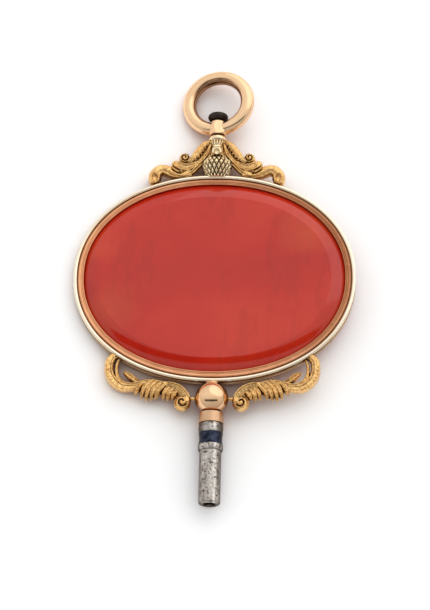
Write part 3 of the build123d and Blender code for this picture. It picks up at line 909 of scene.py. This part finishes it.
def leaf_blade(root, tip, half_depth, seed):
    """One lobe of the leaf, bowed, with a sunk vein and a rounded tip."""
    start, end = np.array(lower_point(*root)), np.array(lower_point(*tip))
    along = end - start
    side = np.array([along[1], -along[0]])
    rows = []
    for share, broad, thick in blade_outline:
        place = start + along * share - side * blade_bow * math.sin(math.pi * share)
        rows.append((*place, blade_half_w * broad, half_depth * thick))
    rules = [grooved(place=0.25, width=0.12, depth=0.22), hammered(0.05, seed)]
    return flat_stroke(rows, rules, square=0.95, steps=8)


def lower_side():
    """The scroll under the right side: hook, lobe and curl, inner volute, leaf and tie."""
    bar, button = scroll_tools(lower_point, lower_band_w, lower_depth)
    grain = 0.52 * mm
    parts = [
        bar(
            hook_outer_shares,
            grooved(place=-0.35, width=0.10, depth=0.32),
            grooved(place=0.12, width=0.10, depth=0.28),
            beaded(place=0.70, width=0.28, pitch=grain, height=0.28, first=0.22),
            hammered(0.05, seed=6),
            edges=[scalloped(side=1, pitch=grain, depth=0.25, first=0.25)],
        ),
        bar(
            hook_inner_shares,
            grooved(place=-0.1, width=0.2, depth=0.30),
            hammered(0.04, seed=7),
        ),
        bar(lobe_shares, grooved(place=0.1, width=0.25, depth=0.35), hammered(0.05, seed=8)),
        button(curl_centre_share, radius=0.45 * mm, depth=0.74 * mm, start=-60, cut=0.85),
        bar(inner_shares, fluted(count=5, depth=0.34, last=0.95), hammered(0.04, seed=9)),
        button(inner_eye_share, radius=1.25 * mm, depth=1.10 * mm, start=180, dome=2.6),
    ]
    for index, (root, tip) in enumerate(blade_shares):
        half_depth = blade_half_depths[index % len(blade_half_depths)]
        parts.append(leaf_blade(root, tip, half_depth, seed=index))
    tie_end, tie_y = lower_point(*tie_share)
    tie_rows = [(x, tie_y, tie_half, tie_half) for x in np.linspace(tie_start, tie_end, 3)]
    points, polygons = flat_stroke(tie_rows, sides=slim_sides)
    parts.append((points - [0, 0, tie_sunk], polygons))
    return joined(parts)


def scaled_boss():
    """The egg-shaped boss under its net of pointed scales."""
    foot, top = oval_y + semi_h - boss_sunk, boss_top + boss_overlap
    belly = foot + boss_belly_share * (top - foot)
    profile = smooth_rows([(boss_foot_r, foot), (boss_belly_r, belly), (boss_top_r, top)], steps=50)

    def relief(turn, y):
        rise = (y - foot) / (top - foot) * scale_rows
        side = turn / (2 * math.pi) * scale_columns
        first = abs((side + rise) % 1 - 0.5) * 2
        second = abs((side - rise) % 1 - 0.5) * 2
        return scale_line_depth * max(first, second) ** scale_line_power

    return turned_shell(profile, relief, scale_columns * 16)


def fluted_stem():
    """The post between the boss and the collar, with a fluted skirt under the collar."""
    foot, top = boss_top - stem_sunk, collar_foot + stem_overlap
    profile = smooth_rows([
        (stem_foot_r, foot),
        (stem_waist_r, (foot + top) / 2),
        *((radius * mm, top - drop * mm) for radius, drop in stem_skirt_rows),
    ], steps=8)

    def relief(turn, y):
        return stem_flute_depth * (0.5 - 0.5 * math.cos(stem_flutes * turn)) ** 2

    return turned_shell(profile, relief, stem_flutes * 12)


def swivel_hub():
    """The hub that carries the ring, bored for the pin and a little proud of the ring's wire."""
    foot, top = hub_low.y, hub_high.y
    outside = smooth_rows([
        *((radius * mm, foot + rise * mm) for radius, rise in hub_foot_rows),
        *((radius * mm, top - drop * mm) for radius, drop in hub_top_rows),
    ], steps=6)
    bore = [(hub_bore_r, top), (hub_bore_r, foot)]

    def relief(turn, y):
        middle = max(math.sin(math.pi * (y - foot) / (top - foot)), 0)
        return -hub_swell * math.sin(2 * turn) ** 2 * middle**0.5

    return turned_shell(outside.tolist() + bore, relief, hub_columns, closed=True)


def crown_leaf():
    """The fluted leaf that hangs from the collar and curls out over the boss."""
    below, height, half_w, half_h = smooth_rows(leaf_rows, steps=12).T * mm
    centres = np.column_stack([np.zeros(len(below)), collar_foot - below, mid_z + height])
    tangent = unit(np.gradient(centres, axis=0))
    across = np.tile([1.0, 0.0, 0.0], (len(below), 1))
    up = np.cross(tangent, across)
    up = up * np.sign(up[:, 2:])
    rules = [
        fluted(count=4, depth=0.90, first=-0.2, last=0.46),
        dimpled(place=0.97, reach=0.17, width=0.60, depth=1.2),
    ]
    return sweep(centres, across, up, half_w, half_h, rules, square=0.8, cap=0.35)


def rim_wire():
    """The round wire along the edge of the frame."""
    middle, half_w, foot, top = wire_section
    section = []
    for step in range(wire_sides):
        turn = 2 * math.pi * step / wire_sides
        height = (foot + top) / 2 + (top - foot) / 2 * math.sin(turn)
        section.append((middle + half_w * math.cos(turn), height))
    return oval_shell(section[::-1])


def stone_shell():
    """The stone with a flat top and a broad bevel, the same on both faces, and its normals."""
    back = [(inset, -height, 180 - lean) for inset, height, lean in stone_bevel[::-1]]
    rows = stone_bevel + back
    points, polygons = oval_shell([(inset, height) for inset, height, lean in rows], closed=False)
    normals = []
    for inset, height, lean in rows:
        half_w, half_h = semi_w - inset * mm, semi_h - inset * mm
        for column in range(oval_columns):
            turn = 2 * math.pi * column / oval_columns
            outward = Vector((math.cos(turn) / half_w, math.sin(turn) / half_h, 0))
            normal = outward.normalized() * math.sin(math.radians(lean))
            normal.z = math.cos(math.radians(lean))
            normals.append(normal)
    return (points, [polygon[::-1] for polygon in polygons]), normals


crown_right, lower_right, leaf_front = crown_side(), lower_side(), crown_leaf()
for name, shell, finish, node in (
    ("crown_scroll_right_chased", crown_right, chased, "crown_scroll_right"),
    ("crown_scroll_left_chased", mirrored(crown_right), chased, "crown_scroll_left"),
    ("lower_scroll_right_chased", lower_right, chased, "lower_scroll_right"),
    ("lower_scroll_left_chased", mirrored(lower_right), chased, "lower_scroll_left"),
    ("boss_scales", scaled_boss(), pale_chased, "scaled_boss"),
    ("crown_leaf_front_fluted", leaf_front, pale_chased, "crown_leaf_front"),
    ("crown_leaf_back_fluted", flipped(leaf_front), pale_chased, "crown_leaf_back"),
    ("crown_stem_fluted", fluted_stem(), chased, "crown_stem"),
):
    piece(name, shell, finish, "root", "chased_gold", node)
plate, normals = stone_shell()
piece("carnelian_bevelled", plate, carnelian, "root", "carnelian", "carnelian", normals=normals)
piece("ring_hub_turned", swivel_hub(), hub_gold, "ring", "ring_gold", "ring_hub")
wire, border = rim_wire(), oval_shell(bezel_section)
piece("front_rim_wire_round", wire, rim_gold, "root", "pale_gold", "front_rim_wire")
piece("back_rim_wire_round", flipped(wire), shaded_back_gold, "root", "pale_gold", "back_rim_wire")
piece("front_bezel_lined", border, bezel_gold, "root", "rose_gold", "front_bezel")
piece("back_bezel_lined", flipped(border), bezel_gold, "root", "rose_gold", "back_bezel")


# Studio

floor_size = 2.0
floor_albedo = 0.80
floor_seen = 1.32  # albedo for the camera and for reflections, so that the open floor reads white
# Painted shadow: floor_shade is the warm shade painted on the paper close round the key
floor_shade = (0.60, 0.44, 0.38)  # what the paper shows where the key covers it
floor_shade_reach = 6 * mm
floor_shade_range = (0.06, 0.68)  # openness at which the shade is full and at which it ends
floor_samples = 16
tilt = math.atan2(mid_z - rim_top, semi_w)  # the key lies on its ball and its frame's left edge
sky_strength = 0.88
sky_levels = ((0.0, 0.25), (0.08, 1.0), (0.17, 0.85), (0.5, 0.96), (1.0, 1.0))  # by height
back_levels = ((0.0, 0.60), (0.65, 1.08), (1.0, 1.0))  # from the barrel's side to the ring's
# The dark gap in the tent at the camera: its middle, in degrees from straight up and below 0
# towards the barrel, where it begins and ends to fade, in degrees from its middle, its level,
# and how far it runs to each side and fades there, as the X of its direction
gap_slope = -27.0
gap_edge = (5.5, 9.5)
gap_level = 0.03
gap_half_width, gap_side_fade = 0.75, 0.1
lamp_place, lamp_aim = (0.30, 0.44, 0.30), (0, 0, 0)  # out of the stone's mirror direction
lamp_size, lamp_watts = 1.10, 1.35


def floor():
    """White paper under the key, with a painted warm shadow round it where the air hardly reaches.
    """
    half = floor_size / 2
    corners = [(-half, -half, 0), (half, -half, 0), (half, half, 0), (-half, half, 0)]
    mesh = bpy.data.meshes.new("floor")
    mesh.from_pydata(corners, [], [(0, 1, 2, 3)])
    made = bpy.data.objects.new("floor", mesh)
    made.rotation_euler = (0, tilt, 0)
    bpy.context.scene.collection.objects.link(made)
    material = bpy.data.materials.new("paper")
    nodes = Nodes(material)
    nodes.tree.nodes.clear()
    matt = nodes.add("ShaderNodeBsdfDiffuse")
    nodes.put((floor_albedo,) * 3, matt.inputs["Color"])
    # Painted shadow: the paper turns to floor_shade where the key shuts out the air
    openness = nodes.span(nodes.hollow(floor_shade_reach, floor_samples), *floor_shade_range)
    bright = nodes.add("ShaderNodeBsdfDiffuse")
    shaded = nodes.mix(openness, floor_shade, (floor_seen,) * 3)
    nodes.put(shaded, bright.inputs["Color"])
    path = nodes.add("ShaderNodeLightPath").outputs
    seen = nodes.math("MAXIMUM", path["Is Camera Ray"], path["Is Glossy Ray"])
    seen = nodes.math("MAXIMUM", seen, path["Is Transmission Ray"])
    both = nodes.add("ShaderNodeMixShader")
    for value, socket in zip((seen, matt.outputs[0], bright.outputs[0]), both.inputs):
        nodes.put(value, socket)
    nodes.put(both.outputs[0], nodes.add("ShaderNodeOutputMaterial").inputs["Surface"])
    mesh.materials.append(material)


def sky():
    """A white tent: bright overhead and behind, dark at the horizon and at the camera's gap."""
    world = bpy.data.worlds.new("tent")
    bpy.context.scene.world = world
    nodes = Nodes(world)
    split = nodes.add("ShaderNodeSeparateXYZ")
    nodes.put(nodes.add("ShaderNodeTexCoord").outputs["Generated"], split.inputs[0])
    x, y, z = split.outputs
    slope = nodes.math("ARCTAN2", y, z)
    off_gap = nodes.math("ABSOLUTE", nodes.math("SUBTRACT", slope, math.radians(gap_slope)))
    inner, outer = (math.radians(angle) for angle in gap_edge)
    lengthwise = nodes.span(off_gap, inner, outer, low=gap_level, curve="SMOOTHSTEP")
    side_start = gap_half_width - gap_side_fade
    off_axis = nodes.math("ABSOLUTE", x)
    sideways = nodes.span(off_axis, side_start, gap_half_width, curve="SMOOTHSTEP")
    gap = nodes.math("MAXIMUM", lengthwise, sideways)
    back = nodes.ramp(nodes.span(y, -1.0, 1.0), *back_levels)
    level = nodes.math("MULTIPLY", nodes.ramp(z, *sky_levels), gap)
    background = nodes.tree.nodes["Background"]
    nodes.put(nodes.math("MULTIPLY", level, back), background.inputs["Color"])
    nodes.put(sky_strength, background.inputs["Strength"])


def lamp():
    """A broad soft lamp behind the key's right side."""
    light = bpy.data.lights.new("softbox_back", "AREA")
    light.shape = "DISK"
    light.size = lamp_size
    light.energy = lamp_watts
    made = bpy.data.objects.new("softbox_back", light)
    made.location = lamp_place
    beam = Vector(lamp_aim) - Vector(lamp_place)
    made.rotation_euler = beam.to_track_quat("-Z", "Y").to_euler()
    bpy.context.scene.collection.objects.link(made)


def camera():
    """The photograph's view: nearly from above, a little from the barrel's end and the right."""
    azimuth, elevation = math.radians(8.0), math.radians(69.3)
    distance = 400 * mm
    key_lean = math.radians(1.35)  # the long axis leans clockwise in the picture
    pixel = 0.149 * mm
    target_drop = 0.41 * mm  # the target is this far below the oval's centre
    target_px = (214.4, 281.4)  # where the target shows in the picture
    picture_px = (430, 610)
    target = Vector((0, oval_y - target_drop, mid_z))
    flat = math.cos(elevation)
    back = Vector((math.sin(azimuth) * flat, -math.cos(azimuth) * flat, math.sin(elevation)))
    axis = Vector((0, 1, 0))
    up = (axis - back * axis.dot(back)).normalized()
    up.rotate(Quaternion(back, key_lean))
    right = up.cross(back)
    aim = target + right * (picture_px[0] / 2 - target_px[0]) * pixel
    aim = aim - up * (picture_px[1] / 2 - target_px[1]) * pixel
    data = bpy.data.cameras.new("camera")
    data.sensor_width = 36.0
    data.lens = data.sensor_width * distance / pixel / picture_px[1]
    data.clip_start = 10 * mm
    made = bpy.data.objects.new("camera", data)
    turn = Matrix((right, up, back)).transposed()
    made.matrix_world = Matrix.Translation(aim + back * distance) @ turn.to_4x4()
    bpy.context.scene.collection.objects.link(made)
    bpy.context.scene.camera = made


floor()
sky()
lamp()
camera()
bpy.context.scene.view_settings.view_transform = "Standard"
